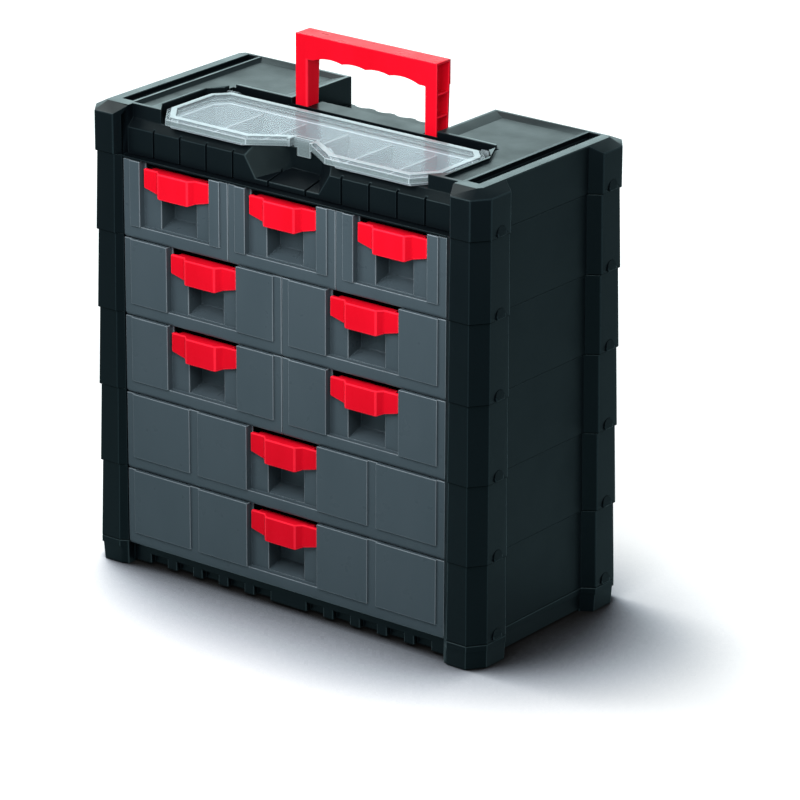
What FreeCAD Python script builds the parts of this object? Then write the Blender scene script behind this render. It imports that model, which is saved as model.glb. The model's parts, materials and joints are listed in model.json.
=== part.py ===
# A portable drawer case: a base, five equal tiers and a top housing that snap together at four
# corner posts, nine drawers with clipped-in pulls, a tray under a clear lid, and a folding handle.
# The floor is z = 0, the front is towards -Y, and the origin is the middle of the footprint.

import FreeCAD, Part
import os
import Sketcher
from types import SimpleNamespace

Vector = FreeCAD.Vector

# Driving sizes in millimetres

sizes = {
    # the case as a whole
    "case_width": 400,
    "case_depth": 200,
    "base_height": 21,
    "tier_pitch": 67,
    "top_height": 40,
    "wall": 3,
    "corner_wall": 1.2,
    "shelf": 2,
    "guide": 2.2,
    "tier_taper": 1.2,
    "play": 0.3,
    # corner posts, in plan
    "post_face": 19.2,
    "post_flank": 6,
    "post_chamfer_x": 10.5,
    "post_chamfer_y": 14,
    "post_side": 25,
    "side_step": 10,
    "side_flank": 6.6,
    "front_step": 4.3,
    "rear_step": 12,
    # the sloping shoulders round the top
    "shoulder_drop": 6,
    "shoulder_x": 11,
    "shoulder_y": 13.2,
    "shoulder_chamfer_x": 3.2,
    "shoulder_chamfer_y": 4.2,
    # snap tongues between the modules
    "snap_width": 11,
    "snap_height": 8,
    "snap_proud": 1.8,
    "snap_lift": 1.6,
    "snap_root": 8,
    "tongue": 3,
    # feet and skirt
    "foot_height": 15.4,
    "foot_inset": 0.8,
    "skirt_lift": 2,
    "sole": 3,
    "rib_pitch": 27.5,
    "tooth_gap": 17.5,
    "tooth_top": 10,
    "tooth_depth": 5,
    # drawers
    "front_gap": 0.6,
    "front_drop": 2,
    "front_plate": 2.6,
    "front_back": 0.9,
    "front_chamfer": 1.5,
    "front_chamfer_rise": 3,
    "panel_raise": 1.7,
    "border_side": 7.5,
    "border_bottom": 11,
    "inner_panel": 51.5,
    "panel_gap": 8.5,
    "channel_width": 72.5,
    "channel_depth": 4.6,
    "channel_plate": 2,
    "pocket_width": 36.7,
    "pocket_depth": 16.5,
    "pocket_height": 38,
    "pocket_rise": 5.8,
    "pocket_wall": 1.6,
    "drawer_length": 174,
    "drawer_height": 56,
    "drawer_wall": 1.8,
    "drawer_play": 1,
    "partition": 2,
    # pulls
    "pull_width": 68.3,
    "pull_lower": 5.4,
    "wing_height": 16.2,
    "wing_drop": 3.6,
    "wing_thick": 3.5,
    "block_width": 30.8,
    "block_facet": 4.6,
    "block_proud": 4.8,
    "block_height": 21.6,
    "block_skin": 1.8,
    "pull_plate": 2.4,
    "pull_plate_width": 57,
    "clip_height": 9,
    "clip_thick": 2,
    # front beam
    "sill_height": 1.6,
    "sill_drop": 2,
    "groove_width": 2,
    "groove_depth": 2,
    "lip_groove_in": 17.9,
    "rib_chamfer": 6.6,
    "scoop_mouth": 98,
    "scoop_lip": 66,
    "scoop_inner": 36,
    "scoop_inner_lip": 28,
    "scoop_depth": 25.5,
    "scoop_lip_level": 4.4,
    "scoop_rise": 6,
    "block_gap": 9.5,
    # lid and tray
    "seat_level": 28.3,
    "lid_front": 10,
    "deck_strip": 23.8,
    "lid_depth": 90,
    "lid_front_cut_x": 17.5,
    "lid_front_cut_y": 23,
    "lid_rear_cut_x": 13.5,
    "lid_rear_cut_y": 15,
    "notch_mouth": 80,
    "notch_inner": 26,
    "notch_depth": 18,
    "latch_slot": 10,
    "lid_room": 4,
    "lid_rim": 5.3,
    "lid_skin": 1.6,
    "lid_wall": 2,
    "border_inset": 3.5,
    "border_width": 5,
    "border_raise": 1.7,
    "tray_flange": 2.4,
    "tray_flange_inset": 4,
    "tray_inset": 8,
    "tray_notch_mouth": 92,
    "tray_notch_depth": 28,
    "tray_depth": 22,
    "tray_wall": 1.6,
    "tray_ramp": 9,
    "tray_ramp_front": 15,
    # lid hinge and latch
    "hinge_gap": 10,
    "hinge_back": 3,
    "hinge_level": 33.5,
    "hinge_floor": 26,
    "hinge_inset": 5.5,
    "knuckle_radius": 3.2,
    "knuckle_length": 11,
    "lid_pin_radius": 1.8,
    "lid_pin_length": 4,
    "pin_play": 0.06,
    "latch_width": 19.4,
    "latch_thick": 1.8,
    "latch_drop": 6,
    "tongue_width": 13.4,
    "tongue_drop": 7,
    "lug_thick": 3,
    "latch_axis_reach": 2.6,
    "latch_pin_radius": 1.2,
    "latch_barrel_radius": 2,
    # hand recess and handle
    "recess_level": 16,
    "slab_depth": 20.5,
    "slab_level": 35,
    "scallop_pitch": 21,
    "scallop_radius": 12,
    "scallop_depth": 2.5,
    "handle_width": 143,
    "handle_room": 2.5,
    "handle_depth": 18.4,
    "handle_foot": 15.4,
    "handle_rise": 66.7,
    "handle_leg": 12,
    "handle_bar": 20.6,
    "handle_skin": 1.8,
    "handle_rib": 1.4,
    "handle_front": 2,
    "pivot_level": 28,
    "pivot_radius": 4,
    "pivot_bite": 3.2,
    "grip_pitch": 24,
    "grip_radius": 46,
    "grip_depth": 3.8,
    "cell_floor": 2.5,
    "cell_low": 7,
    "rib_low": 21.5,
    "rib_high": 40.2,
    # decks and side slots
    "slot_width": 11,
    "slot_in": 20,
    "slot_end": 16,
    "slot_depth": 4.2,
    "field_recess": 2.6,
    "deck_skin": 2,
    "field_side": 34,
    "field_rear": 16,
    "field_inner": 3,
    "field_front": 22,
    "field_strip": 3,
    "field_slope_side": 4,
    "field_slope_rear": 6,
    "field_slope_inner": 11,
}

doc = FreeCAD.newDocument("drawer_case")
sheet = doc.addObject("Spreadsheet::Sheet", "dims")
for row, (name, number) in enumerate(sizes.items(), 1):
    sheet.set(f"A{row}", name)
    sheet.set(f"B{row}", str(number))
    sheet.setAlias(f"B{row}", name)
doc.recompute()


class Size:
    """A length that knows its present value and the sheet formula that gives it."""

    def __init__(self, value, formula):
        self.value = float(value)
        self.formula = formula

    def _join(self, other, sign, value, swap=False):
        text = other.formula if isinstance(other, Size) else repr(other)
        pair = (text, self.formula) if swap else (self.formula, text)
        return Size(value, f"({pair[0]} {sign} {pair[1]})")

    def __add__(self, other):
        return self._join(other, "+", self.value + number_of(other))

    def __radd__(self, other):
        return self._join(other, "+", number_of(other) + self.value, swap=True)

    def __sub__(self, other):
        return self._join(other, "-", self.value - number_of(other))

    def __rsub__(self, other):
        return self._join(other, "-", number_of(other) - self.value, swap=True)

    def __mul__(self, other):
        return self._join(other, "*", self.value * number_of(other))

    def __rmul__(self, other):
        return self._join(other, "*", number_of(other) * self.value, swap=True)

    def __truediv__(self, other):
        return self._join(other, "/", self.value / number_of(other))

    def __neg__(self):
        return Size(-self.value, f"(0 - {self.formula})")


def number_of(size):
    return size.value if isinstance(size, Size) else float(size)


def formula_of(size):
    return size.formula if isinstance(size, Size) else repr(float(size))


d = SimpleNamespace(**{name: Size(sheet.get(name), f"dims.{name}") for name in sizes})


# Building blocks, each bound to the sheet

def bind(thing, place, size):
    thing.setExpression(place, formula_of(size))


def put(thing, x=None, y=None, z=None):
    for axis, size in (("x", x), ("y", y), ("z", z)):
        if size is not None:
            bind(thing, f"Placement.Base.{axis}", size)
    return thing


def box(name, xs, ys, zs):
    thing = doc.addObject("Part::Box", name)
    put(thing, xs[0], ys[0], zs[0])
    for place, span in (("Length", xs), ("Width", ys), ("Height", zs)):
        bind(thing, place, span[1] - span[0])
    return thing


def wide_box(name, width, ys, zs):
    return box(name, (-width / 2, width / 2), ys, zs)


def rod_x(name, radius, xs, y, z):
    thing = doc.addObject("Part::Cylinder", name)
    thing.Placement.Rotation = FreeCAD.Rotation(Vector(0, 1, 0), 90)
    bind(thing, "Radius", radius)
    bind(thing, "Height", xs[1] - xs[0])
    return put(thing, xs[0], y, z)


def rod_y(name, radius, x, ys, z):
    thing = doc.addObject("Part::Cylinder", name)
    thing.Placement.Rotation = FreeCAD.Rotation(Vector(1, 0, 0), -90)
    bind(thing, "Radius", radius)
    bind(thing, "Height", ys[1] - ys[0])
    return put(thing, x, ys[0], z)


def rod_z(name, radius, x, y, zs):
    thing = doc.addObject("Part::Cylinder", name)
    bind(thing, "Radius", radius)
    bind(thing, "Height", zs[1] - zs[0])
    return put(thing, x, y, zs[0])


views = {
    "top": FreeCAD.Rotation(),
    "front": FreeCAD.Rotation(Vector(1, 0, 0), 90),
    "side": FreeCAD.Rotation(Vector(1, 1, 1), 120),
}


def outline(name, points, view="top"):
    """A closed outline whose corners are held at bound distances from the origin."""
    sketch = doc.addObject("Sketcher::SketchObject", name)
    sketch.Placement.Rotation = views[view]
    spots = [Vector(number_of(across), number_of(along), 0) for across, along in points]
    count = len(spots)
    for index, spot in enumerate(spots):
        sketch.addGeometry(Part.LineSegment(spot, spots[(index + 1) % count]), False)
    for index in range(count):
        sketch.addConstraint(Sketcher.Constraint("Coincident", index, 2, (index + 1) % count, 1))
    for index, corner in enumerate(points):
        for kind, size in zip(("DistanceX", "DistanceY"), corner):
            rule = Sketcher.Constraint(kind, -1, 1, index, 1, number_of(size))
            place = sketch.addConstraint(rule)
            bind(sketch, f"Constraints[{place}]", size)
    return sketch


def prism(name, profile, span, view="top"):
    """Extrudes a flat profile along the axis that its view looks down."""
    thing = doc.addObject("Part::Extrusion", name)
    thing.Base = profile
    thing.DirMode = "Normal"
    thing.Reversed = view == "front"
    thing.Solid = True
    bind(thing, "LengthFwd", span[1] - span[0])
    axis = {"top": "z", "front": "y", "side": "x"}[view]
    bind(thing, f"Placement.Base.{axis}", span[0])
    return thing


def inset(name, profile, size):
    thing = doc.addObject("Part::Offset2D", name)
    thing.Source = profile
    thing.Join = "Intersection"
    bind(thing, "Value", -size)
    return thing


def loft(name, sections):
    thing = doc.addObject("Part::Loft", name)
    thing.Sections = sections
    thing.Solid = True
    thing.Ruled = True
    return thing


def fuse(name, *things):
    thing = doc.addObject("Part::MultiFuse", name)
    thing.Shapes = list(things)
    return thing


def cut(name, base, *tools):
    thing = doc.addObject("Part::Cut", name)
    thing.Base = base
    thing.Tool = tools[0] if len(tools) == 1 else fuse(f"{name}_tools", *tools)
    return thing


def common(name, first, second):
    thing = doc.addObject("Part::Common", name)
    thing.Base = first
    thing.Tool = second
    return thing


def mirrored(name, source, normal):
    thing = doc.addObject("Part::Mirroring", name)
    thing.Source = source
    thing.Normal = normal
    return thing


def group(name, *things):
    thing = doc.addObject("Part::Compound", name)
    thing.Links = list(things)
    return thing


def both_sides(name, thing):
    return group(name, thing, mirrored(name, thing, Vector(1, 0, 0)))


def four_corners(name, thing):
    pair = group(name, thing, mirrored(name, thing, Vector(0, 1, 0)))
    return both_sides(name, pair)


parts = {}


def finish(node, thing):
    thing.Label = node
    parts[node] = thing
    return thing


# Places that several pieces share

half_width = d.case_width / 2
half_depth = d.case_depth / 2
bay = half_width - d.post_chamfer_x - d.post_face - d.post_flank
back_wall = half_depth - d.rear_step
beam_face = back_wall
shelf_front = d.front_step + d.front_back + d.front_plate + d.play - half_depth
snap_y = half_depth - d.post_chamfer_y - d.post_side / 2
post_inner_y = half_depth - d.post_chamfer_y - d.post_side
over = 1.0


def post_corners(shrink, step):
    """The corner post in the +X +Y quarter, from the inside of the case round to the side panel."""
    side = half_width - shrink
    face = half_depth - shrink
    return [
        (bay, half_depth - step),
        (bay + d.post_flank, face),
        (half_width - d.post_chamfer_x - shrink, face),
        (side, half_depth - d.post_chamfer_y - shrink),
        (side, post_inner_y),
        (side - d.side_step, post_inner_y - d.side_flank),
    ]


def case_outline(name, shrink, front_step, rear_step, z):
    front = post_corners(shrink, front_step)
    rear = post_corners(shrink, rear_step)
    points = [(x, -y) for x, y in front]
    points += [(x, y) for x, y in reversed(rear)]
    points += [(-x, y) for x, y in rear]
    points += [(-x, -y) for x, y in reversed(front)]
    return put(outline(name, points), z=z)


def side_hollow(name, zs):
    """The hollow between a drawer guide and the outer wall, with the insides of two posts."""
    quarter = [
        (bay + d.guide, half_depth - d.front_step - d.wall),
        (bay + d.post_flank, half_depth - d.wall),
        (half_width - d.post_chamfer_x - d.corner_wall, half_depth - d.wall),
        (half_width - d.wall, half_depth - d.post_chamfer_y - d.corner_wall),
        (half_width - d.wall, post_inner_y + d.corner_wall),
        (half_width - d.wall - d.side_step, post_inner_y - d.side_flank + d.corner_wall),
    ]
    rear = [(bay + d.guide, back_wall - d.wall)] + quarter[1:]
    points = [(x, -y) for x, y in quarter] + [(x, y) for x, y in reversed(rear)]
    return both_sides(name, prism(name, outline(name, points), zs))


# Snap tongues: each stands in the hollow of the module above and its nose fills a window there

def arch(name, radius, xs, low):
    """A half-round window shape that stands on the level low."""
    straight = d.snap_height - d.snap_width / 2
    block = box(name, xs, (snap_y - radius, snap_y + radius), (low, d.snap_lift + straight))
    rod = rod_x(name, radius, xs, snap_y, d.snap_lift + straight)
    top = box(name, xs, (snap_y - radius, snap_y + radius), (d.snap_lift + straight,
              d.snap_lift + straight + radius))
    return fuse(name, block, common(name, rod, top))


def snap_tongue():
    outer = half_width - d.wall - d.play
    ys = (snap_y - d.snap_width / 2, snap_y + d.snap_width / 2)
    stem = box("snap_stem", (outer - d.tongue, outer), ys, (-d.snap_root, d.snap_lift + d.snap_height))
    root = box("snap_root", (outer - d.tongue, half_width - d.wall + d.play), ys, (-d.snap_root, -d.play))
    ramp_points = [
        (outer - d.tongue, d.snap_lift),
        (half_width + d.snap_proud, d.snap_lift),
        (half_width, d.snap_lift + d.snap_height),
        (outer - d.tongue, d.snap_lift + d.snap_height),
    ]
    ramp = prism("snap_ramp", outline("snap_ramp_outline", ramp_points, "front"), ys, "front")
    reach = (outer - d.tongue, half_width + d.snap_proud)
    nose = common("snap_nose", arch("snap_arch", d.snap_width / 2, reach, d.snap_lift), ramp)
    return fuse("snap", stem, root, nose)


snaps = four_corners("snaps", snap_tongue())
window_reach = (half_width - d.wall - over, half_width + over)
windows = four_corners("windows", arch("window", d.snap_width / 2 + d.play, window_reach,
                                       d.snap_lift - d.play))


# Base with four feet and a toothed skirt

def build_base():
    feet = loft("feet", [
        case_outline("foot_sole", d.foot_inset * 2, d.front_step, d.front_step, 0.0),
        case_outline("foot_top", d.foot_inset, d.front_step, d.front_step, d.foot_height),
    ])
    ring_outline = case_outline("ring", 0.0, d.front_step, d.front_step, 0.0)
    ring = prism("base_ring", ring_outline, (d.foot_height, d.base_height))
    body = fuse("base_body", feet, ring)
    skirt_face = back_wall
    below = -over
    between = (-bay, bay)
    toe_kick = box("toe_kick", between, (-half_depth - over, -skirt_face), (below, d.base_height + over))
    heel = box("heel", between, (skirt_face, half_depth + over), (below, d.base_height + over))
    panel_y = post_inner_y - d.side_flank
    lift = box("side_lift", (-half_width - over, half_width + over), (-panel_y, panel_y),
               (below, d.skirt_lift))
    skirt_lift = box("skirt_lift", between, (-half_depth, half_depth), (below, d.skirt_lift))
    skirt = d.tooth_depth + d.wall
    inside = box("base_inside", (d.wall - bay, bay - d.wall), (skirt - skirt_face, skirt_face - skirt),
                 (below, d.base_height - d.shelf))
    hollow = side_hollow("base_hollow", (d.sole, d.base_height + over))
    gaps = []
    for place in range(1, 6):
        middle = place * d.rib_pitch
        gaps.append(box("tooth_gap", (middle - d.tooth_gap / 2, middle + d.tooth_gap / 2),
                        (-half_depth, d.tooth_depth - skirt_face), (below, d.tooth_top)))
    teeth = four_corners("tooth_gaps", group("tooth_gap_row", *gaps))
    body = cut("base_cut", body, toe_kick, heel, lift, skirt_lift, inside, hollow, teeth)
    body = fuse("base", body, put(group("base_snaps", snaps), z=d.base_height))
    return finish("base_frame", body)


# One tier: posts and side panels, drawer guides, a back wall and a shelf

def build_tier():
    body = loft("tier_shell", [
        case_outline("tier_low", 0.0, d.front_step, d.rear_step, 0.0),
        case_outline("tier_high", d.tier_taper, d.front_step, d.rear_step, d.tier_pitch),
    ])
    room = box("tier_room", (-bay, bay), (-half_depth - over, back_wall - d.wall),
               (d.shelf, d.tier_pitch + over))
    edge = box("shelf_edge", (-bay, bay), (-half_depth - over, shelf_front), (-over, d.shelf + over))
    hollow = side_hollow("tier_hollow", (-over, d.tier_pitch + over))
    body = cut("tier_cut", body, room, edge, hollow, windows)
    body = fuse("tier", body, put(group("tier_snaps", snaps), z=d.tier_pitch))
    return put(body, z=d.base_height)


def build_tiers():
    first = finish("tier_frame_5", build_tier())
    for level in range(1, 5):
        finish(f"tier_frame_{5 - level}", put(group("tier_copy", first), z=level * d.tier_pitch))


# Drawers, in their own frame: x from the middle, y from the front border, z from the bottom edge

front_height = d.tier_pitch - d.front_gap
channel = d.channel_width / 2
pocket_floor = d.border_bottom
pull_top = front_height - d.pull_lower
plate_top = pull_top - d.pull_plate
channel_back = d.channel_depth + d.channel_plate


def drawer(kind, pitch, panels):
    half_front = pitch / 2 - d.front_gap / 2
    half_box = pitch / 2 - d.partition / 2 - d.drawer_play
    box_floor = d.front_drop + d.shelf + d.play
    pieces = [box(f"{kind}_plate", (-half_front, half_front), (0.0, d.front_plate),
                  (0.0, front_height))]
    for start, end in panels(half_front):
        panel = box(f"{kind}_panel", (start, end), (-d.panel_raise, d.front_plate / 2),
                    (d.border_bottom, front_height))
        pieces += [panel, mirrored(f"{kind}_panel", panel, Vector(1, 0, 0))]
    shell = box(f"{kind}_shell", (-half_box, half_box), (d.front_plate / 2, d.drawer_length),
                (box_floor, box_floor + d.drawer_height))
    inner = box(f"{kind}_inside", (d.drawer_wall - half_box, half_box - d.drawer_wall),
                (d.front_plate, d.drawer_length - d.drawer_wall),
                (box_floor + d.drawer_wall, front_height + over))
    pieces.append(cut(f"{kind}_box", shell, inner))
    half_block = channel + d.channel_plate
    pieces.append(box(f"{kind}_channel_block", (-half_block, half_block), (d.front_plate / 2, channel_back),
                      (d.border_bottom - d.channel_plate, front_height)))
    half_pocket = d.pocket_width / 2
    half_lining = half_pocket + d.pocket_wall
    pocket_back = d.channel_depth + d.pocket_depth
    pocket_top = pocket_floor + d.pocket_height
    pieces.append(box(f"{kind}_pocket_block", (-half_lining, half_lining),
                      (d.channel_depth, pocket_back + d.pocket_wall),
                      (pocket_floor - d.pocket_wall, pocket_top + d.pocket_wall)))
    body = fuse(f"{kind}_body", *pieces)
    channel_cut = box(f"{kind}_channel", (-channel, channel), (-d.panel_raise - over, d.channel_depth),
                      (d.border_bottom, front_height + over))
    clip_room = d.pull_width / 2 + d.play
    notch = box(f"{kind}_notch", (-clip_room, clip_room), (d.channel_depth - over, channel_back + over),
                (plate_top, front_height + over))
    pocket_points = [
        (d.channel_depth - over, pocket_floor),
        (pocket_back, pocket_floor + d.pocket_rise),
        (pocket_back, pocket_top),
        (d.channel_depth - over, pocket_top),
    ]
    pocket_side = outline(f"{kind}_pocket_outline", pocket_points, "side")
    pocket = prism(f"{kind}_pocket", pocket_side, (-half_pocket, half_pocket), "side")
    lean = d.front_chamfer / d.front_chamfer_rise
    edge_points = [
        (-over, -over),
        (d.front_chamfer + lean * over, -over),
        (-over, d.front_chamfer_rise + d.front_chamfer_rise / d.front_chamfer * over),
    ]
    lower_edge = prism(f"{kind}_lower_edge", outline(f"{kind}_edge_outline", edge_points, "side"),
                       (-half_front - over, half_front + over), "side")
    return cut(f"{kind}_drawer", body, channel_cut, notch, pocket, lower_edge)


def outer_panel(half_front):
    return [(channel, half_front - d.border_side)]


def panel_pair(half_front):
    middle = channel + d.inner_panel
    return [(channel, middle), (middle + d.panel_gap, half_front - d.border_side)]


# The pull, in the drawer's frame: two wings, a proud faceted block and a plate that clips behind

def build_pull():
    half = d.pull_width / 2
    face = d.channel_depth - d.wing_thick
    nose = face - d.block_proud
    block_half = d.block_width / 2
    block_base = block_half + d.block_facet
    wing_low = pull_top - d.wing_height
    block_low = pull_top - d.block_height
    right = [
        (half, pull_top),
        (half, wing_low),
        (block_base, wing_low - d.wing_drop),
        (block_half, block_low),
    ]
    points = right + [(-x, z) for x, z in reversed(right)]
    front = outline("pull_front", points, "front")
    wings = prism("pull_wings", front, (face, d.channel_depth), "front")
    block_points = [(block_base, face), (block_half, nose), (-block_half, nose), (-block_base, face)]
    block = prism("pull_block", outline("pull_block_outline", block_points), (block_low, pull_top))
    block = common("pull_nose", block, prism("pull_profile", front, (nose - over, face), "front"))
    clip_back = channel_back + d.play + d.clip_thick
    plate = wide_box("pull_plate", d.pull_plate_width, (face, clip_back), (plate_top, pull_top))
    clip = wide_box("pull_clip", d.pull_plate_width - 2 * d.clip_thick, (channel_back + d.play, clip_back),
                    (pull_top - d.clip_height, pull_top))
    body = fuse("pull_body", wings, block, plate, clip)
    grip = wide_box("pull_grip", d.block_width - 2 * d.block_skin,
                    (nose + d.block_skin, d.channel_depth + over),
                    (block_low - over, plate_top - d.block_skin))
    clip_clear = wide_box("clip_clear", d.pull_width, (d.channel_depth, channel_back + d.play),
                          (block_low - over, plate_top))
    return cut("pull", body, grip, clip_clear)


def build_drawers():
    row_width = 2 * bay
    fronts = {
        "small": drawer("small", row_width / 3, outer_panel),
        "medium": drawer("medium", row_width / 2, outer_panel),
        "large": drawer("large", row_width, panel_pair),
    }
    pull = build_pull()
    thirds = (("left", -row_width / 3), ("middle", 0.0), ("right", row_width / 3))
    halves = (("left", -row_width / 4), ("right", row_width / 4))
    rows = [("small", thirds), ("medium", halves), ("medium", halves),
            ("large", (("", 0.0),)), ("large", (("", 0.0),))]
    front_y = d.front_step + d.front_back - half_depth
    for number, (kind, places) in enumerate(rows, 1):
        level = d.base_height + (5 - number) * d.tier_pitch - d.front_drop
        for side, x in places:
            name = f"{number}_{side}".rstrip("_")
            finish(f"drawer_{name}", put(group("drawer_copy", fronts[kind]), x, front_y, level))
            finish(f"pull_{name}", put(group("pull_copy", pull), x, front_y, level))


def build_partitions():
    row_width = 2 * bay
    places = {"1_left": (1, -row_width / 6), "1_right": (1, row_width / 6),
              "2": (2, 0.0), "3": (3, 0.0)}
    for name, (row, x) in places.items():
        level = d.base_height + (5 - row) * d.tier_pitch
        plate = box("partition", (x - d.partition / 2, x + d.partition / 2),
                    (d.wall + d.play - beam_face, back_wall - d.wall),
                    (level + d.shelf, level + d.tier_pitch))
        finish(f"partition_{name}", plate)


# Lid outline, which the tray, its well and the room round the lid follow

top_seam = d.base_height + 5 * d.tier_pitch
lid_y0 = d.lid_front - half_depth
lid_y1 = lid_y0 + d.lid_depth
lid_half = bay - d.deck_strip
hinge_half = lid_half - d.hinge_inset
lid_low = d.seat_level + d.tray_flange + d.play
lid_face = lid_low + d.lid_rim
notch_y = lid_y0 + d.notch_depth
slab_y0 = lid_y1 + d.hinge_gap
slab_y1 = slab_y0 + d.slab_depth
hinge_y = lid_y1 + d.hinge_back
latch_slot_y = notch_y + d.latch_slot
latch_y = latch_slot_y - d.latch_axis_reach
latch_z = lid_face + d.border_raise - d.latch_barrel_radius
recess_width = d.handle_width + 2 * d.handle_room
handle_y = slab_y0 + d.handle_front
pivot_y = handle_y + d.handle_foot / 2


def lid_outline(name, notch_mouth, notch_back):
    right = [
        (d.notch_inner / 2, notch_back),
        (notch_mouth / 2, lid_y0),
        (lid_half - d.lid_front_cut_x, lid_y0),
        (lid_half, lid_y0 + d.lid_front_cut_y),
        (lid_half, lid_y1 - d.lid_rear_cut_y),
        (lid_half - d.lid_rear_cut_x, lid_y1),
    ]
    return outline(name, right + [(-x, y) for x, y in reversed(right)])


lid_shape = lid_outline("lid_outline", d.notch_mouth, notch_y)
tray_notch_y = lid_y0 + d.tray_notch_depth
tray_shape = lid_outline("tray_outline", d.tray_notch_mouth, tray_notch_y)


# Top housing, from the top seam upwards

def housing_block():
    posts = prism("housing_posts", case_outline("housing_outline", 0.0, d.rear_step, d.rear_step, 0.0),
                  (0.0, d.top_height))
    shoulder = d.top_height - d.shoulder_drop
    plain = (half_width, half_depth, d.post_chamfer_x, d.post_chamfer_y)
    drawn_in = (half_width - d.shoulder_x, half_depth - d.shoulder_y,
                d.shoulder_chamfer_x, d.shoulder_chamfer_y)
    sections = []
    for z, (x, y, chamfer_x, chamfer_y) in ((-over, plain), (shoulder, plain), (d.top_height, drawn_in)):
        corner = [(x - chamfer_x, y), (x, y - chamfer_y)]
        points = [(a, -b) for a, b in corner] + [(a, b) for a, b in reversed(corner)]
        points += [(-a, b) for a, b in corner] + [(-a, -b) for a, b in reversed(corner)]
        sections.append(put(outline("shoulder_outline", points), z=z))
    return common("housing_block", posts, loft("shoulders", sections))


def lid_room_cuts():
    high = d.top_height + over
    room = prism("lid_room", inset("lid_room_outline", lid_shape, -d.lid_room), (d.seat_level, high))
    front_half = lid_half - d.block_gap
    front = box("lid_front_room", (-front_half, front_half), (-half_depth - over, notch_y + d.lid_room),
                (d.seat_level, high))
    well = prism("tray_well", inset("well_outline", tray_shape, d.tray_inset - d.play), (-over, high))
    channel_cut = box("hinge_channel", (-hinge_half, hinge_half), (lid_y1 - over, slab_y0),
                      (d.hinge_floor, high))
    bore = rod_x("lid_pin_bore", d.lid_pin_radius + d.pin_play,
                 (hinge_half - over, hinge_half + d.lid_pin_length + d.play), hinge_y, d.hinge_level)
    return [room, front, well, channel_cut, both_sides("lid_pin_bores", bore)]


def hand_recess_cuts():
    high = d.top_height + over
    half = recess_width / 2
    recess = wide_box("hand_recess", recess_width, (slab_y1, half_depth + over), (d.recess_level, high))
    slab = wide_box("slab_top", recess_width, (slab_y0 - over, slab_y1 + over), (d.slab_level, high))
    inner = d.handle_width / 2 - d.handle_leg - 2 * d.play
    slot = box("leg_slot", (inner, half), (handle_y - over, slab_y1 + over), (d.recess_level, high))
    bore = rod_x("pivot_bore", d.pivot_radius + d.pin_play, (half - over, half + d.wall + over),
                 pivot_y, d.pivot_level)
    scallop_y = back_wall + d.scallop_radius - d.scallop_depth
    scallops = []
    for place in range(-3, 4):
        scallops.append(rod_z("scallop", d.scallop_radius, place * d.scallop_pitch, scallop_y,
                              (d.recess_level - d.wall - over, high)))
    return [recess, slab, both_sides("leg_slots", slot), both_sides("pivot_bores", bore)] + scallops


def deck_cuts():
    high = d.top_height + over
    slot_x = half_width - d.slot_in
    slot_y = half_depth - d.slot_end
    slot = box("side_slot", (slot_x - d.slot_width, slot_x), (d.slot_end / 2 - slot_y, slot_y),
               (d.top_height - d.slot_depth, high))
    outer = half_width - d.field_side
    inner = recess_width / 2 + d.field_inner
    rear = half_depth - d.field_rear
    corner_y = slab_y0 + d.wall
    strip = lid_half + d.lid_room + d.field_strip
    front = d.field_front - half_depth
    sections = []
    for share, z in ((1.0, d.top_height - d.field_recess), (-0.5, d.top_height + d.field_recess / 2)):
        inside = inner + share * d.field_slope_inner
        outside = outer - share * d.field_slope_side
        back = rear - share * d.field_slope_rear
        points = [
            (inside, corner_y),
            (lid_half - d.lid_rear_cut_x + d.lid_room, corner_y),
            (strip, lid_y1 - d.lid_rear_cut_y - d.lid_room),
            (strip, front),
            (outside, front),
            (outside, back),
            (inside, back),
        ]
        sections.append(put(outline("field_outline", points), z=z))
    field = loft("deck_field", sections)
    return [both_sides("side_slots", slot), both_sides("deck_fields", field)]


def underside_cuts():
    low = -over
    under_deck = d.top_height - d.field_recess - d.deck_skin
    platform_x = (recess_width / 2 + d.wall, bay)
    platform = box("under_platform", platform_x, (slab_y0 + d.wall, back_wall - d.wall), (low, under_deck))
    strip_front = d.rib_chamfer + d.wall - beam_face
    strip = box("under_strip", (lid_half + d.lid_room + d.wall, bay), (strip_front, slab_y0 + d.wall + over),
                (low, under_deck))
    recess = wide_box("under_recess", recess_width - 2 * d.wall,
                      (slab_y1 - over, back_wall - d.wall - d.scallop_depth),
                      (low, d.recess_level - d.wall))
    slab = wide_box("under_slab", d.handle_width - 2 * d.handle_leg - 6 * d.wall,
                    (slab_y0 + d.wall, slab_y1), (low, d.recess_level - d.wall))
    hollow = side_hollow("housing_hollow", (low, d.top_height - d.slot_depth - d.wall))
    return [both_sides("under_platforms", platform), both_sides("under_strips", strip), recess, slab,
            hollow, windows]


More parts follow.
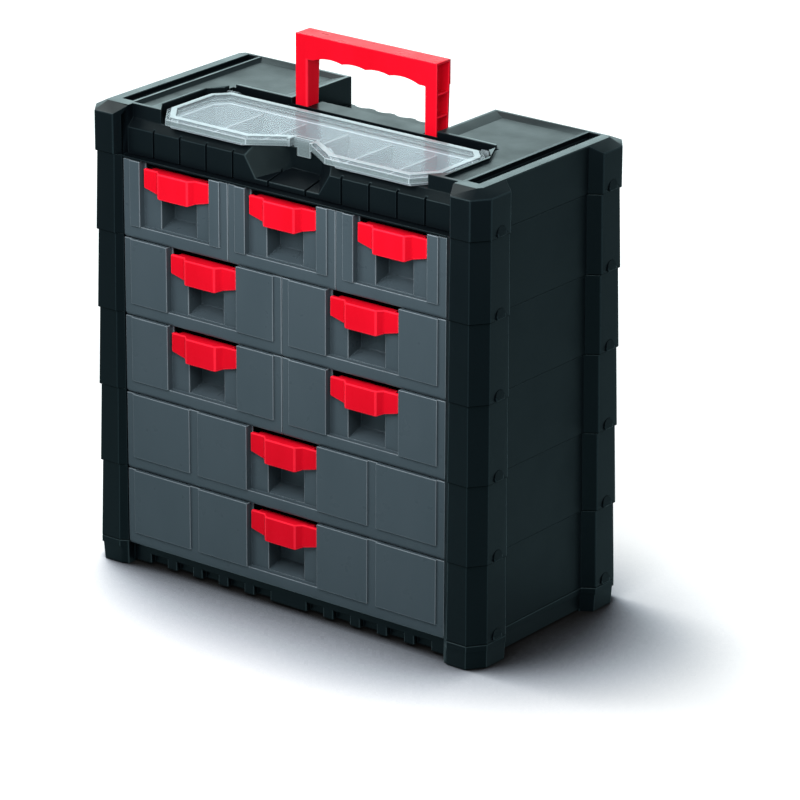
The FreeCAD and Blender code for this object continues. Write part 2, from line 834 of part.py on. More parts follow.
def beam_cuts():
    grooves = []
    for place in (2, 3, 4, 5):
        x = place * d.rib_pitch
        grooves.append(box("rib_groove", (x - d.groove_width / 2, x + d.groove_width / 2),
                           (-beam_face - over, d.groove_depth - beam_face), (-over, d.seat_level + over)))
    lip_groove = box("lip_groove", (d.lip_groove_in, d.lip_groove_in + d.groove_width),
                     (-beam_face - over, d.groove_depth - beam_face), (-over, d.seat_level + over))
    chamfer_points = [
        (-beam_face - over, d.seat_level - d.rib_chamfer - over),
        (d.rib_chamfer - beam_face, d.seat_level),
        (d.rib_chamfer - beam_face, d.top_height + over),
        (-beam_face - over, d.top_height + over),
    ]
    chamfer_side = outline("rib_chamfer_outline", chamfer_points, "side")
    chamfer = prism("rib_chamfer", chamfer_side, (-bay, bay), "side")
    mouth = [(d.scoop_mouth / 2, d.seat_level + over), (d.scoop_lip / 2, d.scoop_lip_level)]
    inner = [(d.scoop_inner / 2, d.seat_level + over),
             (d.scoop_inner_lip / 2, d.scoop_lip_level + d.scoop_rise)]
    ends = []
    for side, y in ((mouth, -beam_face - over), (inner, d.scoop_depth - beam_face)):
        points = side + [(-x, z) for x, z in reversed(side)]
        ends.append(put(outline("scoop_outline", points, "front"), y=y))
    scoop = loft("scoop", ends)
    floor_points = [
        (-beam_face - over, d.scoop_lip_level - d.groove_depth),
        (0.75 * d.scoop_depth - beam_face, d.scoop_lip_level + 0.75 * d.scoop_rise - d.groove_depth),
        (0.75 * d.scoop_depth - beam_face, d.scoop_lip_level + d.scoop_rise),
        (-beam_face - over, d.scoop_lip_level + d.scoop_rise),
    ]
    floor_side = outline("floor_groove_outline", floor_points, "side")
    groove_span = (d.lip_groove_in, d.lip_groove_in + d.groove_width)
    floor_groove = prism("floor_groove", floor_side, groove_span, "side")
    return [both_sides("rib_grooves", group("rib_groove_row", *grooves, lip_groove)),
            both_sides("floor_grooves", floor_groove), chamfer, scoop]


def build_housing():
    body = cut("housing_cut", housing_block(), *lid_room_cuts(), *hand_recess_cuts(), *deck_cuts(),
               *underside_cuts(), *beam_cuts())
    between = (d.play - bay, bay - d.play)
    sill = box("sill", between, (d.front_step - half_depth, d.wall - beam_face),
               (-d.sill_drop, d.sill_height - d.sill_drop))
    web = box("sill_web", between, (d.groove_depth - beam_face, d.wall - beam_face), (-d.sill_drop, d.wall))
    return finish("top_housing", put(fuse("housing", body, sill, web), z=top_seam))


# Compartment tray that hangs by its flange

def build_tray():
    low = d.seat_level - d.tray_depth
    top = d.seat_level + d.tray_flange
    flange = prism("tray_flange", inset("flange_outline", tray_shape, d.tray_flange_inset),
                   (d.seat_level, top))
    tub = prism("tray_tub", inset("tub_outline", tray_shape, d.tray_inset), (low, top))
    cavity = prism("tray_cavity", inset("cavity_outline", tray_shape, d.tray_inset + d.tray_wall),
                   (low + d.tray_wall, top + over))
    body = cut("tray_body", fuse("tray_block", flange, tub), cavity)
    inner_half = lid_half - d.tray_inset
    walls = []
    for place in (-2, -1, 0, 1, 2):
        x = inner_half * place / 3
        walls.append(box("tray_divider", (x - d.tray_wall / 2, x + d.tray_wall / 2), (lid_y0, lid_y1),
                         (low, d.seat_level)))
    for place in (-3, -2, -1, 0, 1, 2, 3):
        x = inner_half * place / 3
        ramp_points = [(x - d.tray_ramp, low), (x + d.tray_ramp, low), (x, low + d.tray_ramp)]
        ramp = outline("tray_ramp_outline", ramp_points, "front")
        walls.append(prism("tray_ramp", ramp, (lid_y0, lid_y1), "front"))
    tub_front = lid_y0 + d.tray_inset
    tub_rear = lid_y1 - d.tray_inset
    for wall_y, foot in ((tub_front, tub_front + d.tray_ramp_front), (tub_rear, tub_rear - d.tray_ramp)):
        ramp_points = [(wall_y, low), (foot, low), (wall_y, low + d.tray_ramp_front)]
        ramp = outline("tray_slope_outline", ramp_points, "side")
        walls.append(prism("tray_slope", ramp, (-inner_half, inner_half), "side"))
    core = prism("tray_core", inset("core_outline", tray_shape, d.tray_inset + d.tray_wall / 2),
                 (low + d.tray_wall / 2, d.seat_level))
    dividers = common("tray_dividers", fuse("tray_divider_row", *walls), core)
    return finish("organizer_tray", put(fuse("tray", body, dividers), z=top_seam))


# Clear lid with a raised border, rear knuckles with pins, and front lugs for the latch

def build_lid():
    block = prism("lid_block", lid_shape, (lid_low, lid_face))
    under = prism("lid_under", inset("lid_under_outline", lid_shape, d.lid_wall),
                  (lid_low - over, lid_face - d.lid_skin))
    border = prism("lid_border", inset("lid_border_outline", lid_shape, d.border_inset),
                   (lid_face - d.lid_skin, lid_face + d.border_raise))
    field = prism("lid_field", inset("lid_field_outline", lid_shape, d.border_inset + d.border_width),
                  (lid_face, lid_face + d.border_raise + over))
    body = fuse("lid_plate", cut("lid_shell", block, under), cut("lid_ridge", border, field))
    outer = hinge_half - 2 * d.play
    inner = outer - d.knuckle_length
    barrel = rod_x("lid_knuckle", d.knuckle_radius, (inner, outer), hinge_y, d.hinge_level)
    arm = box("lid_arm", (inner, lid_half - d.lid_rear_cut_x), (lid_y1 - d.lid_wall, hinge_y),
              (lid_face - d.lid_skin, lid_face))
    pin = rod_x("lid_pin", d.lid_pin_radius, (inner, hinge_half + d.lid_pin_length), hinge_y, d.hinge_level)
    lug_in = d.latch_width / 2 + d.play
    lug_out = lug_in + d.lug_thick
    high = lid_face + d.border_raise
    cheeks = box("latch_cheeks", (-lug_out, lug_out), (notch_y, latch_slot_y + d.lid_wall), (lid_low, high))
    slot = box("latch_slot", (-lug_in, lug_in), (notch_y - over, latch_slot_y),
               (lid_low - over, high + over))
    bore = rod_x("latch_bore", d.latch_pin_radius + d.pin_play, (-lug_out - over, lug_out + over),
                 latch_y, latch_z)
    body = fuse("lid_body", body, both_sides("lid_hinges", fuse("lid_hinge", barrel, arm, pin)), cheeks)
    return finish("lid", put(cut("lid_cut", body, slot, bore), z=top_seam))


# Clear latch that swings on the lid's lugs

def build_latch():
    half = d.latch_width / 2
    barrel = rod_x("latch_barrel", d.latch_barrel_radius, (-half, half), latch_y, latch_z)
    pin = rod_x("latch_pin", d.latch_pin_radius, (-half - d.lug_thick, half + d.lug_thick), latch_y, latch_z)
    ys = (latch_y - d.latch_barrel_radius, latch_y - d.latch_barrel_radius + d.latch_thick)
    plate = wide_box("latch_plate", d.latch_width, ys, (latch_z - d.latch_drop, latch_z))
    tongue = wide_box("latch_tongue", d.tongue_width, ys, (latch_z - d.latch_drop - d.tongue_drop, latch_z))
    body = fuse("latch", barrel, pin, plate, tongue)
    return finish("lid_latch", put(body, z=top_seam))


# Carry handle: a bar with finger grips on two ribbed legs, turning on two stub pins

def build_handle():
    half = d.handle_width / 2
    inner = half - d.handle_leg
    top = d.pivot_level + d.handle_rise
    bar_low = top - d.handle_bar
    ys = (handle_y, handle_y + d.handle_depth)
    grips = []
    for place in (-1.5, -0.5, 0.5, 1.5):
        grips.append(rod_y("finger_grip", d.grip_radius, place * d.grip_pitch, (ys[0] - over, ys[1] + over),
                           bar_low + d.grip_depth - d.grip_radius))
    bar = cut("handle_grip", wide_box("handle_bar", d.handle_width, ys, (bar_low, top)), *grips)
    leg_points = [
        (ys[0], d.pivot_level),
        (ys[0] + d.handle_foot, d.pivot_level),
        (ys[1], top),
        (ys[0], top),
    ]
    leg = prism("handle_leg", outline("leg_outline", leg_points, "side"), (inner, half), "side")
    heel = rod_x("handle_heel", d.handle_foot / 2, (inner, half), pivot_y, d.pivot_level)
    pin = rod_x("handle_pin", d.pivot_radius, (inner, half + d.handle_room + d.pivot_bite), pivot_y, d.pivot_level)
    body = fuse("handle_body", bar, both_sides("handle_legs", fuse("handle_side", leg, heel)))
    half_rib = d.handle_rib / 2
    spans = [
        (d.cell_low, d.rib_low - half_rib),
        (d.rib_low + half_rib, d.rib_high - half_rib),
        (d.rib_high + half_rib, d.handle_rise - d.handle_skin),
    ]
    taper = (d.handle_depth - d.handle_foot) / d.handle_rise
    cells = []
    for low, high in spans:
        cell_points = [
            (ys[0] + d.handle_skin, d.pivot_level + low),
            (ys[0] + d.handle_foot + taper * low - d.handle_skin, d.pivot_level + low),
            (ys[0] + d.handle_foot + taper * high - d.handle_skin, d.pivot_level + high),
            (ys[0] + d.handle_skin, d.pivot_level + high),
        ]
        cell = outline("cell_outline", cell_points, "side")
        cells.append(prism("leg_cell", cell, (inner + d.cell_floor, half + over), "side"))
    body = cut("handle_cut", body, both_sides("leg_cells", group("leg_cell_row", *cells)))
    body = fuse("handle", body, both_sides("handle_pins", pin))
    return finish("carry_handle", put(body, z=top_seam))


build_base()
build_tiers()
build_drawers()
build_partitions()
build_housing()
build_tray()
build_lid()
build_latch()
build_handle()
doc.recompute()

for thing in doc.Objects:
    if "Invalid" in thing.State or "Error" in thing.State:
        raise RuntimeError(f"{thing.Name} ({thing.Label}) failed: {thing.State}")
for node, thing in parts.items():
    if thing.Shape.isNull() or not thing.Shape.isValid():
        raise RuntimeError(f"{node} has no valid shape")

os.makedirs("parts", exist_ok=True)
for node, thing in parts.items():
    thing.Shape.exportStep(f"parts/{node}.step")
    print(node, len(thing.Shape.Solids), round(thing.Shape.Volume / 1000, 1))
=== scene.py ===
import bmesh
import bpy
import json
import math
from mathutils import Matrix, Vector
from mathutils.bvhtree import BVHTree
from mathutils.kdtree import KDTree


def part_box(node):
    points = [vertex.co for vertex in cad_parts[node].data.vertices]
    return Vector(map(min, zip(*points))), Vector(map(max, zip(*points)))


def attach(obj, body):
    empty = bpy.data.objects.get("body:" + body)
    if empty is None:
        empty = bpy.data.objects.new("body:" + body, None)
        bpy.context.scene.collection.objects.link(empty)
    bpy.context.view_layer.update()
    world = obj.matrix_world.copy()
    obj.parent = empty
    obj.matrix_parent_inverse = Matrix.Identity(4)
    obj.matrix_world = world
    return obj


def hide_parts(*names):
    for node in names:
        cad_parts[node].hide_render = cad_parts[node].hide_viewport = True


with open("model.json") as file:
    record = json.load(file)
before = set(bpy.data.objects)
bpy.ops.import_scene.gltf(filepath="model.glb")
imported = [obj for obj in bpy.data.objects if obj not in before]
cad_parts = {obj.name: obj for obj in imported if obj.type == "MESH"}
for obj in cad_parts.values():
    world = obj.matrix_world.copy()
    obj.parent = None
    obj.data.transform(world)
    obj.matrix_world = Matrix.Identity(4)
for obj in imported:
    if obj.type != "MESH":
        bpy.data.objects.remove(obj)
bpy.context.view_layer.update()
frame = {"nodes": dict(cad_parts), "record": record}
nodeBody = {}
for bodyName, members in frame["record"]["behaviour"]["bodies"].items():
    for member in members:
        nodeBody[member] = bodyName
nodeSlot = {subpart["node"]: subpart["material_slot"] for subpart in frame["record"]["subparts"]}


# a shader node with its settings, and its sockets linked or given plain values
def madeNode(tree, kind, sockets=None, **settings):
    node = tree.nodes.new(kind)
    for name, setting in settings.items():
        setattr(node, name, setting)
    for socket, given in (sockets or {}).items():
        if isinstance(given, bpy.types.NodeSocket):
            tree.links.new(given, node.inputs[socket])
        else:
            node.inputs[socket].default_value = given
    return node


# tones along a colour ramp, each with its place
def setTones(ramp, tones):
    stops = ramp.color_ramp.elements
    stops[0].position = tones[0][0]
    stops[1].position = tones[-1][0]
    for place, shade in tones[1:-1]:
        stops.new(place)
    for stop, (place, shade) in zip(stops, tones):
        stop.color = (*shade, 1.0)


plasticMarks = {    # how the marks are drawn in every plastic; the looks below say how large and how strong
    "flowStretch": (1.0, 1.0, 0.35), "flowDetail": 4.0, "flowRoughness": 0.55, "low": 0.30, "high": 0.70,
    "hazeFineness": 2.3, "hazeDetail": 3.0, "grainDetail": 2.0, "grainDepth": 0.12,
}


# moulded plastic: fine spark grain, faint flow marks, polish that varies a little
def mouldedPlastic(name, look):
    finish = bpy.data.materials.new(name)
    finish.use_nodes = True
    tree = finish.node_tree
    place = madeNode(tree, "ShaderNodeTexCoord").outputs["Object"]

    stretch = madeNode(tree, "ShaderNodeMapping", {"Vector": place, "Scale": plasticMarks["flowStretch"]})
    flow = madeNode(tree, "ShaderNodeTexNoise", {    # flow marks, some centimetres long
        "Vector": stretch.outputs["Vector"], "Scale": 1.0 / look["mark"],
        "Detail": plasticMarks["flowDetail"], "Roughness": plasticMarks["flowRoughness"]})
    tint = madeNode(tree, "ShaderNodeValToRGB", {"Fac": flow.outputs["Fac"]})
    setTones(tint, ((plasticMarks["low"], look["deep"]), (plasticMarks["high"], look["pale"])))

    haze = madeNode(tree, "ShaderNodeTexNoise", {    # patches handled more, so smoother
        "Vector": place, "Scale": plasticMarks["hazeFineness"] / look["mark"],
        "Detail": plasticMarks["hazeDetail"]})
    polish = madeNode(tree, "ShaderNodeMapRange", {
        "Value": haze.outputs["Fac"], "From Min": plasticMarks["low"], "From Max": plasticMarks["high"],
        "To Min": look["gloss"][0], "To Max": look["gloss"][1]})

    grain = madeNode(tree, "ShaderNodeTexNoise", {    # the mould's eroded grain
        "Vector": place, "Scale": 1.0 / look["grain"], "Detail": plasticMarks["grainDetail"]})
    relief = madeNode(tree, "ShaderNodeBump", {
        "Height": grain.outputs["Fac"], "Strength": look["relief"],
        "Distance": look["grain"] * plasticMarks["grainDepth"]})

    shader = tree.nodes["Principled BSDF"]
    shader.inputs["Specular IOR Level"].default_value = look["specular"]
    shader.inputs["Specular Tint"].default_value = (*look.get("sheen", (1.0, 1.0, 1.0)), 1.0)
    shader.inputs["Alpha"].default_value = look.get("alpha", 1.0)
    tree.links.new(tint.outputs["Color"], shader.inputs["Base Color"])
    tree.links.new(polish.outputs["Result"], shader.inputs["Roughness"])
    tree.links.new(relief.outputs["Normal"], shader.inputs["Normal"])
    return finish


edgeHighlightPaint = {"brighter": 1.25, "glossLow": 0.75, "glossHigh": 0.85, "relief": 0.4}


# the rounded edges get a painted highlight: brighter and smoother than the faces
def paintedEdgeHighlight(name, look):
    highlighted = dict(look)
    highlighted["deep"] = look["edge"]
    highlighted["pale"] = tuple(min(1.0, edgeHighlightPaint["brighter"] * part) for part in look["edge"])
    highlighted["gloss"] = (look["gloss"][0] * edgeHighlightPaint["glossLow"], look["gloss"][1] * edgeHighlightPaint["glossHigh"])
    highlighted["relief"] = look["relief"] * edgeHighlightPaint["relief"]
    highlighted["specular"] = look.get("edgeSpecular", look["specular"])
    highlighted["alpha"] = look.get("edgeAlpha", look.get("alpha", 1.0))
    return mouldedPlastic(name, highlighted)


# edge is the colour of the painted highlight on the rounded edges
blackCase = {    # colours are linear; grain and mark are lengths in metres
    "deep": (0.0014, 0.0024, 0.0034), "pale": (0.0022, 0.0034, 0.0046), "edge": (0.005, 0.008, 0.010),
    "gloss": (0.30, 0.40), "grain": 0.0011, "relief": 0.30, "mark": 0.060, "specular": 0.070,
    "edgeSpecular": 0.14, "sheen": (0.72, 1.0, 1.0),
}
slateDrawer = {
    "deep": (0.040, 0.057, 0.068), "pale": (0.047, 0.065, 0.077), "edge": (0.125, 0.150, 0.168),
    "gloss": (0.26, 0.36), "grain": 0.0009, "relief": 0.20, "mark": 0.045, "specular": 0.12,
}
redGrip = {
    "deep": (0.61, 0.0032, 0.013), "pale": (0.67, 0.0042, 0.017), "edge": (0.75, 0.014, 0.032),
    "gloss": (0.26, 0.36), "grain": 0.0010, "relief": 0.18, "mark": 0.030, "specular": 0.025,
    "sheen": (1.0, 0.40, 0.90),
}
clearLid = {
    "deep": (0.50, 0.62, 0.68), "pale": (0.58, 0.69, 0.75), "edge": (0.48, 0.57, 0.61),
    "gloss": (0.16, 0.26), "grain": 0.0014, "relief": 0.12, "mark": 0.050, "specular": 0.4,
    "alpha": 0.16, "edgeAlpha": 0.40,
}
milkTray = {
    "deep": (0.13, 0.165, 0.185), "pale": (0.16, 0.195, 0.215), "edge": (0.40, 0.46, 0.50),
    "gloss": (0.28, 0.40), "grain": 0.0010, "relief": 0.20, "mark": 0.040, "specular": 0.3,
}
slotLooks = {
    "black_plastic": blackCase, "grey_plastic": slateDrawer, "red_plastic": redGrip,
    "clear_plastic": clearLid, "tray_plastic": milkTray,
}
finishes = {}
for slotName, look in slotLooks.items():
    finishes[slotName] = (mouldedPlastic(slotName + "_face", look), paintedEdgeHighlight(slotName + "_edge", look))

# painted sheen: a lighter, glossier black for the deck rims and the rounded edges of the base
paintedSheenRim = dict(blackCase, deep=(0.010, 0.016, 0.018), pale=(0.016, 0.023, 0.026), specular=0.16)
# painted shade: a near-black finish for the lower rounded edges in the seams
paintedSeamShade = dict(blackCase, deep=(0.0006, 0.0008, 0.0010), pale=(0.0009, 0.0012, 0.0014), specular=0.01)
hazyWall = dict(clearLid, deep=(0.15, 0.195, 0.205), pale=(0.18, 0.23, 0.24), specular=0.2, alpha=0.60)
hazyBorder = dict(clearLid, deep=(0.37, 0.45, 0.48), pale=(0.42, 0.50, 0.53), alpha=0.58)
# painted light: the up-facing floors deep in the tray are lighter than its walls and rims
paintedLitTrayFloor = dict(milkTray, deep=(0.40, 0.46, 0.49), pale=(0.46, 0.52, 0.55), specular=0.2)
extraLooks = {
    "black_plastic_painted_sheen": paintedSheenRim, "black_plastic_painted_seam_shade": paintedSeamShade, "clear_plastic_wall": hazyWall,
    "clear_plastic_border": hazyBorder, "tray_plastic_painted_lit_floor": paintedLitTrayFloor,
}
extraFinishes = {name: mouldedPlastic(name, look) for name, look in extraLooks.items()}
print("finishes made:", 2 * len(finishes) + len(extraFinishes))


edgeRounding = {    # radius in metres, steps across the round, share of a small step that may go
    "black_plastic": (0.0008, 2, 0.16), "grey_plastic": (0.0007, 2, 0.30), "red_plastic": (0.0011, 3, 0.30),
    "clear_plastic": (0.0006, 2, 0.25), "tray_plastic": (0.0007, 2, 0.30),
}
handleRounding = (0.0018, 4, 0.30)

joining = {"weld": 2e-6, "flat": math.radians(0.6)}    # metres, and the bend that still counts as one face
bends = {    # smooth below the first, facets of a round below the second, rounded above the third
    "smooth": 4, "facet": 18, "sharp": 28,    # degrees
    "broad": 0.0055,    # metres across, from which a face is no facet
}
roomRules = {    # lengths in radii, leans as cosines between an edge and its neighbour
    "shortest": 1.7, "plainBend": math.radians(5), "narrowTip": 0.85, "runsOn": -0.93,
}
spikeRules = {"away": 0.85, "reach": 3}    # in radii
foldRules = {    # square metres, cosine, metres, radii
    "tiniest": 1e-10, "turned": 0.7, "onFace": 1e-5, "reach": 2.5,
}
easing = {"tries": 9, "less": 0.5, "least": 0.12, "smoothBend": 0.2}    # the bend is in radians


# how round each sharp edge may be, so that a small step keeps its shape and a narrow tip isn't drawn out
def roundingOf(edge, radius, share):
    if edge.calc_length() < roomRules["shortest"] * radius:
        return 0.0
    room = radius
    along = (edge.verts[1].co - edge.verts[0].co).normalized()
    for corner in edge.verts:
        heading = along if corner is edge.verts[0] else -along
        for other in corner.link_edges:
            if other is edge or other.calc_face_angle(0.0) < roomRules["plainBend"]:
                continue
            across = other.other_vert(corner).co - corner.co
            lean = across.normalized().dot(heading)
            if lean > roomRules["narrowTip"]:
                return 0.0
            if lean > roomRules["runsOn"]:
                room = min(room, share * across.length)
    return room / radius


# corners of the plain piece whose rounding folds a face over or draws out a spike
def strainedCorners(rounded, surface, corners, radius):
    strained = set()
    for vertex in rounded.vertices:
        away = surface.find_nearest(vertex.co)[3]
        if away > spikeRules["away"] * radius:
            reach = away + spikeRules["reach"] * radius
            strained.update(index for spot, index, gap in corners.find_range(vertex.co, reach))
    rounded.calc_loop_triangles()
    for triangle in rounded.loop_triangles:
        onRound = rounded.polygons[triangle.polygon_index].material_index == 1
        if onRound or triangle.area < foldRules["tiniest"]:
            continue
        first, second, third = (rounded.vertices[index].co for index in triangle.vertices)
        normal, index, away = surface.find_nearest((first + second + third) / 3)[1:]
        facing = (second - first).cross(third - first).normalized()
        if facing.dot(normal) < foldRules["turned"] and away < foldRules["onFace"]:
            for spot in (first, second, third):
                index, gap = corners.find(spot)[1:]
                if gap < foldRules["reach"] * radius:
                    strained.add(index)
    return strained


# a slight bend between two wide faces is a fold, and one between narrow facets is part of a round
def isFold(edge):
    start = edge.verts[0].co
    along = (edge.verts[1].co - start).normalized()
    for face in edge.link_faces:
        reach = max((corner.co - start).cross(along).length for corner in face.verts)
        if reach < bends["broad"]:
            return False
    return True


# the CAD piece with its triangles joined into faces
def joinedPiece(mesh):
    work = bmesh.new()
    work.from_mesh(mesh)
    bmesh.ops.remove_doubles(work, verts=work.verts, dist=joining["weld"])
    bmesh.ops.dissolve_limit(work, angle_limit=joining["flat"], verts=work.verts, edges=work.edges)
    wide = [face for face in work.faces if len(face.verts) > 4]
    bmesh.ops.triangulate(work, faces=wide, quad_method="BEAUTY", ngon_method="BEAUTY")
    work.verts.ensure_lookup_table()
    return work


# how much each edge is rounded, and which edges shade smoothly
def weighEdges(work, radius, share):
    weight = work.edges.layers.float.new("bevel_weight_edge")
    for edge in work.edges:
        bend = math.degrees(edge.calc_face_angle(0.0))
        edge.smooth = bend < bends["smooth"] or bend < bends["facet"] and not isFold(edge)
        if bend > bends["sharp"]:
            edge[weight] = roundingOf(edge, radius, share)
            edge.smooth = edge[weight] > 0.0
    for face in work.faces:
        face.smooth = True
        face.material_index = 0
    return weight


# less rounding at the corners that can't take it
def easeCorners(work, weight, strained):
    for index in strained:
        for edge in work.verts[index].link_edges:
            edge[weight] = edge[weight] * easing["less"] if edge[weight] > easing["least"] else 0.0
            slight = edge.calc_face_angle(0.0) < easing["smoothBend"]
            edge.smooth = edge.smooth and (edge[weight] > 0.0 or slight)


# a passing object that rounds the mesh by its edge weights and keeps the shading flat on the faces
def roundingMaker(node, mesh, radius, steps):
    maker = bpy.data.objects.new(node + "_maker", mesh)
    bpy.context.scene.collection.objects.link(maker)
    soften = maker.modifiers.new("soften", "BEVEL")
    soften.limit_method = "WEIGHT"
    soften.width = radius
    soften.segments = steps
    soften.use_clamp_overlap = False
    soften.loop_slide = False
    soften.material = 1
    level = maker.modifiers.new("level", "WEIGHTED_NORMAL")
    level.keep_sharp = True
    return maker


# a finer mesh of a CAD piece, with its edges rounded where there is room
def softenedMesh(node, finishPair, radius, steps, share):
    mesh = frame["nodes"][node].data.copy()
    mesh.materials.clear()
    for finish in finishPair:
        mesh.materials.append(finish)
    work = joinedPiece(mesh)
    surface = BVHTree.FromBMesh(work)
    corners = KDTree(len(work.verts))
    for vertex in work.verts:
        corners.insert(vertex.co, vertex.index)
    corners.balance()
    weight = weighEdges(work, radius, share)
    maker = roundingMaker(node, mesh, radius, steps)
    for attempt in range(easing["tries"]):
        work.to_mesh(mesh)
        maker.update_tag()
        graph = bpy.context.evaluated_depsgraph_get()
        graph.update()
        rounded = bpy.data.meshes.new_from_object(maker.evaluated_get(graph))
        strained = strainedCorners(rounded, surface, corners, radius)
        if not strained:
            break
        easeCorners(work, weight, strained)
    for face in rounded.polygons:    # only outer edges keep the painted edge highlight, inner corners keep the face's finish
        if face.material_index == 1:
            near, normal = surface.find_nearest(face.center)[:2]
            if (face.center - near).dot(normal) > 0.0:
                face.material_index = 0
    work.free()
    bpy.data.objects.remove(maker)
    print("rounded", node, "in", attempt + 1, "tries, corners left:", len(strained),
          "faces:", len(rounded.polygons))
    return rounded


faceRules = {    # the upward part of a face's direction, and heights in metres
    "seamDown": -0.3, "rimLevel": 0.99, "wallUpright": 0.3, "borderLevel": 0.9, "trayLevel": 0.95,
    "topSkin": 0.0002, "trayDepth": 0.004,
}


# finishes that only some faces of a piece have: painted seam shade, painted sheen, painted light on the tray
# floors, and the lid's walls and border
def ownFinish(kind, top):
    skin = top - faceRules["topSkin"]
    if kind in ("tier", "base", "top"):    # the lower rounded edges lie in the seams, out of the light, and get painted shade
        yield "black_plastic_painted_seam_shade", (
            lambda face: face.material_index == 1 and face.normal.z < faceRules["seamDown"])
    if kind == "top":    # the narrow rims round the decks get a painted sheen, lighter than the fields
        yield "black_plastic_painted_sheen", (
            lambda face: face.normal.z > faceRules["rimLevel"] and face.center.z > skin)
    if kind == "base":    # the other rounded edges of the teeth and the feet get the same painted sheen
        yield "black_plastic_painted_sheen", lambda face: face.material_index == 1
    if kind == "lid":
        yield "clear_plastic_wall", (
            lambda face: abs(face.normal.z) < faceRules["wallUpright"] and face.material_index == 0)
        yield "clear_plastic_border", (
            lambda face: face.normal.z > faceRules["borderLevel"] and face.center.z > skin)
    if kind == "organizer":
        # the tray floors get painted light, lighter than the walls
        deep = top - faceRules["trayDepth"]
        yield "tray_plastic_painted_lit_floor", (
            lambda face: face.normal.z > faceRules["trayLevel"] and face.center.z < deep)


softened = {}    # pieces of one kind and size share a mesh, kept with the corner of its box
for node in sorted(frame["nodes"]):
    kind = node.split("_")[0]
    slotName = nodeSlot[node]
    rounding = handleRounding if kind == "carry" else edgeRounding[slotName]
    low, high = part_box(node)
    sameShape = (kind, tuple(round(side, 5) for side in high - low))
    if sameShape not in softened:
        mesh = softenedMesh(node, finishes[slotName], *rounding)
        softened[sameShape] = (mesh, low)
        for extraName, belongs in ownFinish(kind, high.z):
            mesh.materials.append(extraFinishes[extraName])
            for face in mesh.polygons:
                if belongs(face):
                    face.material_index = len(mesh.materials) - 1
    mesh, corner = softened[sameShape]
    mesh = mesh.copy()
    mesh.transform(Matrix.Translation(low - corner))
    shell = bpy.data.objects.new(node + "_moulded", mesh)
    bpy.context.scene.collection.objects.link(shell)
    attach(shell, nodeBody[node])
    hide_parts(node)
print("shells made:", len(frame["nodes"]), "from", len(softened), "shapes")


studio = {
    "floorHalf": 6.0, "floorDrop": 0.0002,    # metres
    "floorTop": 0.17,    # glow of the open paper
    "sky": 0.56, "skyTint": (0.95, 0.98, 1.0),
    "sheenTint": (0.54, 0.80, 0.87), "bounceTint": (0.24, 0.25, 0.26),
    "white": (1.0, 1.0, 1.0), "plainSky": 1.0,
    "paintedShadowNook": 0.22, "paintedShadowRays": 24, "paintedShadowLean": (-0.52, 0.16, 0.84),    # the open side is at the back and left
    "paintedShadowTones": (    # openness, and the painted shadow tone of the paper there
        (0.36, (0.010, 0.010, 0.010)), (0.48, (0.090, 0.100, 0.116)),
        (0.66, (0.375, 0.405, 0.445)), (0.90, (0.880, 0.880, 0.880))),
}
mixSocket = {"factor": 0, "first": 6, "second": 7, "result": 2}    # the colour sockets of a mix node


# rays that come straight from the camera, also through the clear lid, and rays that a sheen sends out
def seenRay(tree):
    path = madeNode(tree, "ShaderNodeLightPath").outputs
    seen = madeNode(tree, "ShaderNodeMath", {0: path["Is Camera Ray"], 1: path["Is Transmission Ray"]},
                    operation="MAXIMUM")
    return seen.outputs[0], path["Is Glossy Ray"]


def mixedTone(tree, factor, first, second):
    sockets = {mixSocket["factor"]: factor, mixSocket["first"]: first, mixSocket["second"]: second}
    mix = madeNode(tree, "ShaderNodeMix", sockets, data_type="RGBA")
    return mix.outputs[mixSocket["result"]]


# pale studio paper: white where it is open, dark where the case shuts the light out, both by the lamps' own
# shadow and by a painted shadow that darkens it near the case
def studioPaper():
    paper = bpy.data.materials.new("studioPaper")
    paper.use_nodes = True
    tree = paper.node_tree
    tree.nodes.clear()
    seen, glossy = seenRay(tree)
    # the painted shadow: the paper's colour is darkened where the case is near
    lean = madeNode(tree, "ShaderNodeCombineXYZ", dict(enumerate(studio["paintedShadowLean"])))
    paintedShadowNook = madeNode(tree, "ShaderNodeAmbientOcclusion", {
        "Distance": studio["paintedShadowNook"], "Normal": lean.outputs[0]}, samples=studio["paintedShadowRays"])
    paintedShadowTone = madeNode(tree, "ShaderNodeValToRGB", {"Fac": paintedShadowNook.outputs["AO"]})
    setTones(paintedShadowTone, studio["paintedShadowTones"])
    bounce = (*studio["bounceTint"], 1.0)    # what the fronts get back
    sheen = (*studio["sheenTint"], 1.0)    # what shows in the sheen
    wholeTone = mixedTone(tree, seen, mixedTone(tree, glossy, bounce, sheen), paintedShadowTone.outputs["Color"])
    sheet = madeNode(tree, "ShaderNodeBsdfDiffuse", {"Color": wholeTone})
    glowLevel = madeNode(tree, "ShaderNodeMath", {0: seen, 1: studio["floorTop"]}, operation="MULTIPLY")
    glow = madeNode(tree, "ShaderNodeEmission", {"Color": wholeTone, "Strength": glowLevel.outputs[0]})
    both = madeNode(tree, "ShaderNodeAddShader", {0: sheet.outputs[0], 1: glow.outputs[0]})
    madeNode(tree, "ShaderNodeOutputMaterial", {"Surface": both.outputs[0]})
    return paper


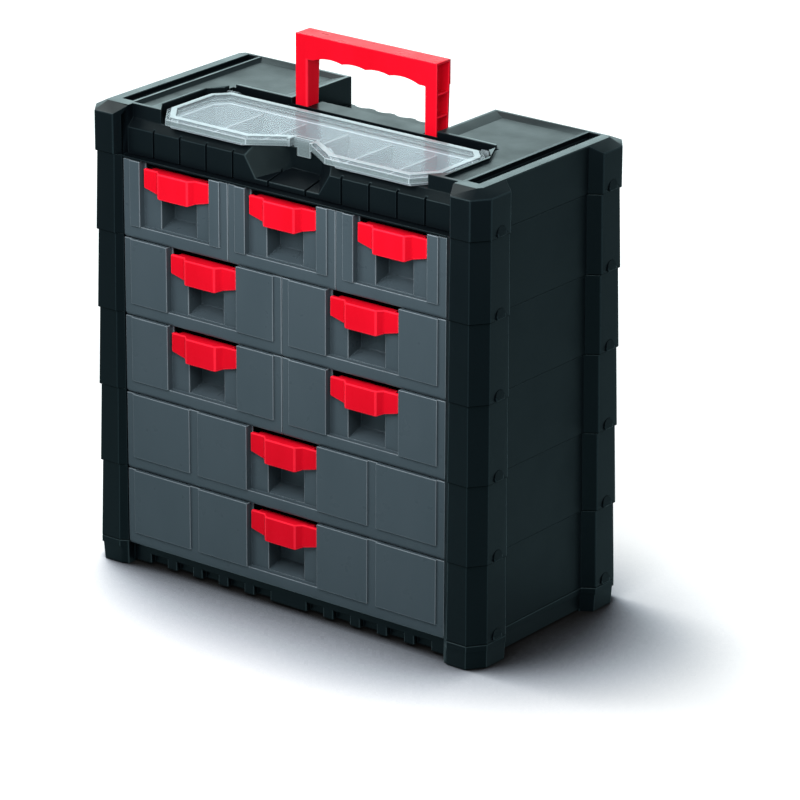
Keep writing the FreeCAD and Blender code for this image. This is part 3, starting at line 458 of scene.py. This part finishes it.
# the sky that lights the case, the one in its sheen, and the white one behind it
def studioSky():
    world = bpy.data.worlds.new("studioSky")
    world.use_nodes = True
    tree = world.node_tree
    tree.nodes.clear()
    seen, glossy = seenRay(tree)
    skies = []
    for tint, strength in ((studio["skyTint"], studio["sky"]), (studio["sheenTint"], studio["plainSky"]),
                           (studio["white"], studio["plainSky"])):
        sky = madeNode(tree, "ShaderNodeBackground", {"Color": (*tint, 1.0), "Strength": strength})
        skies.append(sky.outputs[0])
    lighting, inSheen, behind = skies
    unseen = madeNode(tree, "ShaderNodeMixShader", {0: glossy, 1: lighting, 2: inSheen})
    whole = madeNode(tree, "ShaderNodeMixShader", {0: seen, 1: unseen.outputs[0], 2: behind})
    madeNode(tree, "ShaderNodeOutputWorld", {"Surface": whole.outputs[0]})
    return world


floorMesh = bpy.data.meshes.new("studioFloor")
half = studio["floorHalf"]
floorCorners = [(-half, -half, 0), (half, -half, 0), (half, half, 0), (-half, half, 0)]
floorMesh.from_pydata(floorCorners, [], [(0, 1, 2, 3)])
floorMesh.materials.append(studioPaper())
floor = bpy.data.objects.new("studioFloor", floorMesh)
bpy.context.scene.collection.objects.link(floor)
floor.location.z = -studio["floorDrop"]
bpy.context.scene.world = studioSky()
print("floor and sky set")


# a soft key from the left, a low bright box at the back for the sheen of the tops, a front box near the top
keyLight = {"from": (-0.72, 0.10, 0.69), "away": 2.0, "level": 2.0, "spread": 40.0, "tint": (1.0, 0.99, 0.98)}
softBoxes = (
    {"name": "backBox", "at": (-1.45, 1.90, 1.15), "aim": (0.0, 0.0, 0.38), "wide": 2.2, "tall": 1.3,
     "power": 24.0, "tint": (0.80, 1.0, 1.0)},
    {"name": "frontBox", "at": (0.05, -0.42, 0.60), "aim": (0.0, -0.10, 0.33), "wide": 0.9, "tall": 0.3,
     "power": 4.6, "tint": (1.0, 1.0, 1.0)},
)


def hang(name, lamp, at, toward, tint):
    lamp.color = tint
    holder = bpy.data.objects.new(name, lamp)
    bpy.context.scene.collection.objects.link(holder)
    holder.location = at
    holder.visible_camera = False
    holder.rotation_euler = toward.to_track_quat("-Z", "Y").to_euler()


sun = bpy.data.lights.new("keyLight", "SUN")
sun.energy = keyLight["level"]
sun.angle = math.radians(keyLight["spread"])
sunward = Vector(keyLight["from"])
hang("keyLight", sun, keyLight["away"] * sunward, -sunward, keyLight["tint"])
for softBox in softBoxes:
    lamp = bpy.data.lights.new(softBox["name"], "AREA")
    lamp.shape = "RECTANGLE"
    lamp.size = softBox["wide"]
    lamp.size_y = softBox["tall"]
    lamp.energy = softBox["power"]
    toward = Vector(softBox["aim"]) - Vector(softBox["at"])
    hang(softBox["name"], lamp, softBox["at"], toward, softBox["tint"])
print("lights hung:", 1 + len(softBoxes))


photoCamera = {
    "turn": 37.732, "lift": 20.495, "roll": 0.249,    # degrees
    "aim": (0.0, -0.006265, 0.200), "distance": 3.881088, "right": 0.03985, "down": 0.04017, "farthest": 40.0,
    "focal": 4785.7, "frame": 800, "sensor": 36.0,    # pixels, pixels and millimetres
}
turn = math.radians(photoCamera["turn"])
lift = math.radians(photoCamera["lift"])
roll = math.radians(photoCamera["roll"])
back = Vector((math.sin(turn) * math.cos(lift), -math.cos(turn) * math.cos(lift), math.sin(lift)))
level = Vector((math.cos(turn), math.sin(turn), 0.0))
upward = back.cross(level)
rightward = math.cos(roll) * level + math.sin(roll) * upward
upright = -math.sin(roll) * level + math.cos(roll) * upward
cameraData = bpy.data.cameras.new("photoCamera")
cameraData.sensor_width = photoCamera["sensor"]
cameraData.lens = photoCamera["sensor"] * photoCamera["focal"] / photoCamera["frame"]
cameraData.clip_end = photoCamera["farthest"]
camera = bpy.data.objects.new("photoCamera", cameraData)
bpy.context.scene.collection.objects.link(camera)
spot = (Vector(photoCamera["aim"]) + back * photoCamera["distance"] + rightward * photoCamera["right"]
        - upright * photoCamera["down"])
facing = Matrix((rightward, upright, back)).transposed().to_4x4()
camera.matrix_world = Matrix.Translation(spot) @ facing
bpy.context.scene.camera = camera
bpy.context.scene.view_settings.view_transform = "Standard"
print("camera placed at", [round(part, 4) for part in spot])
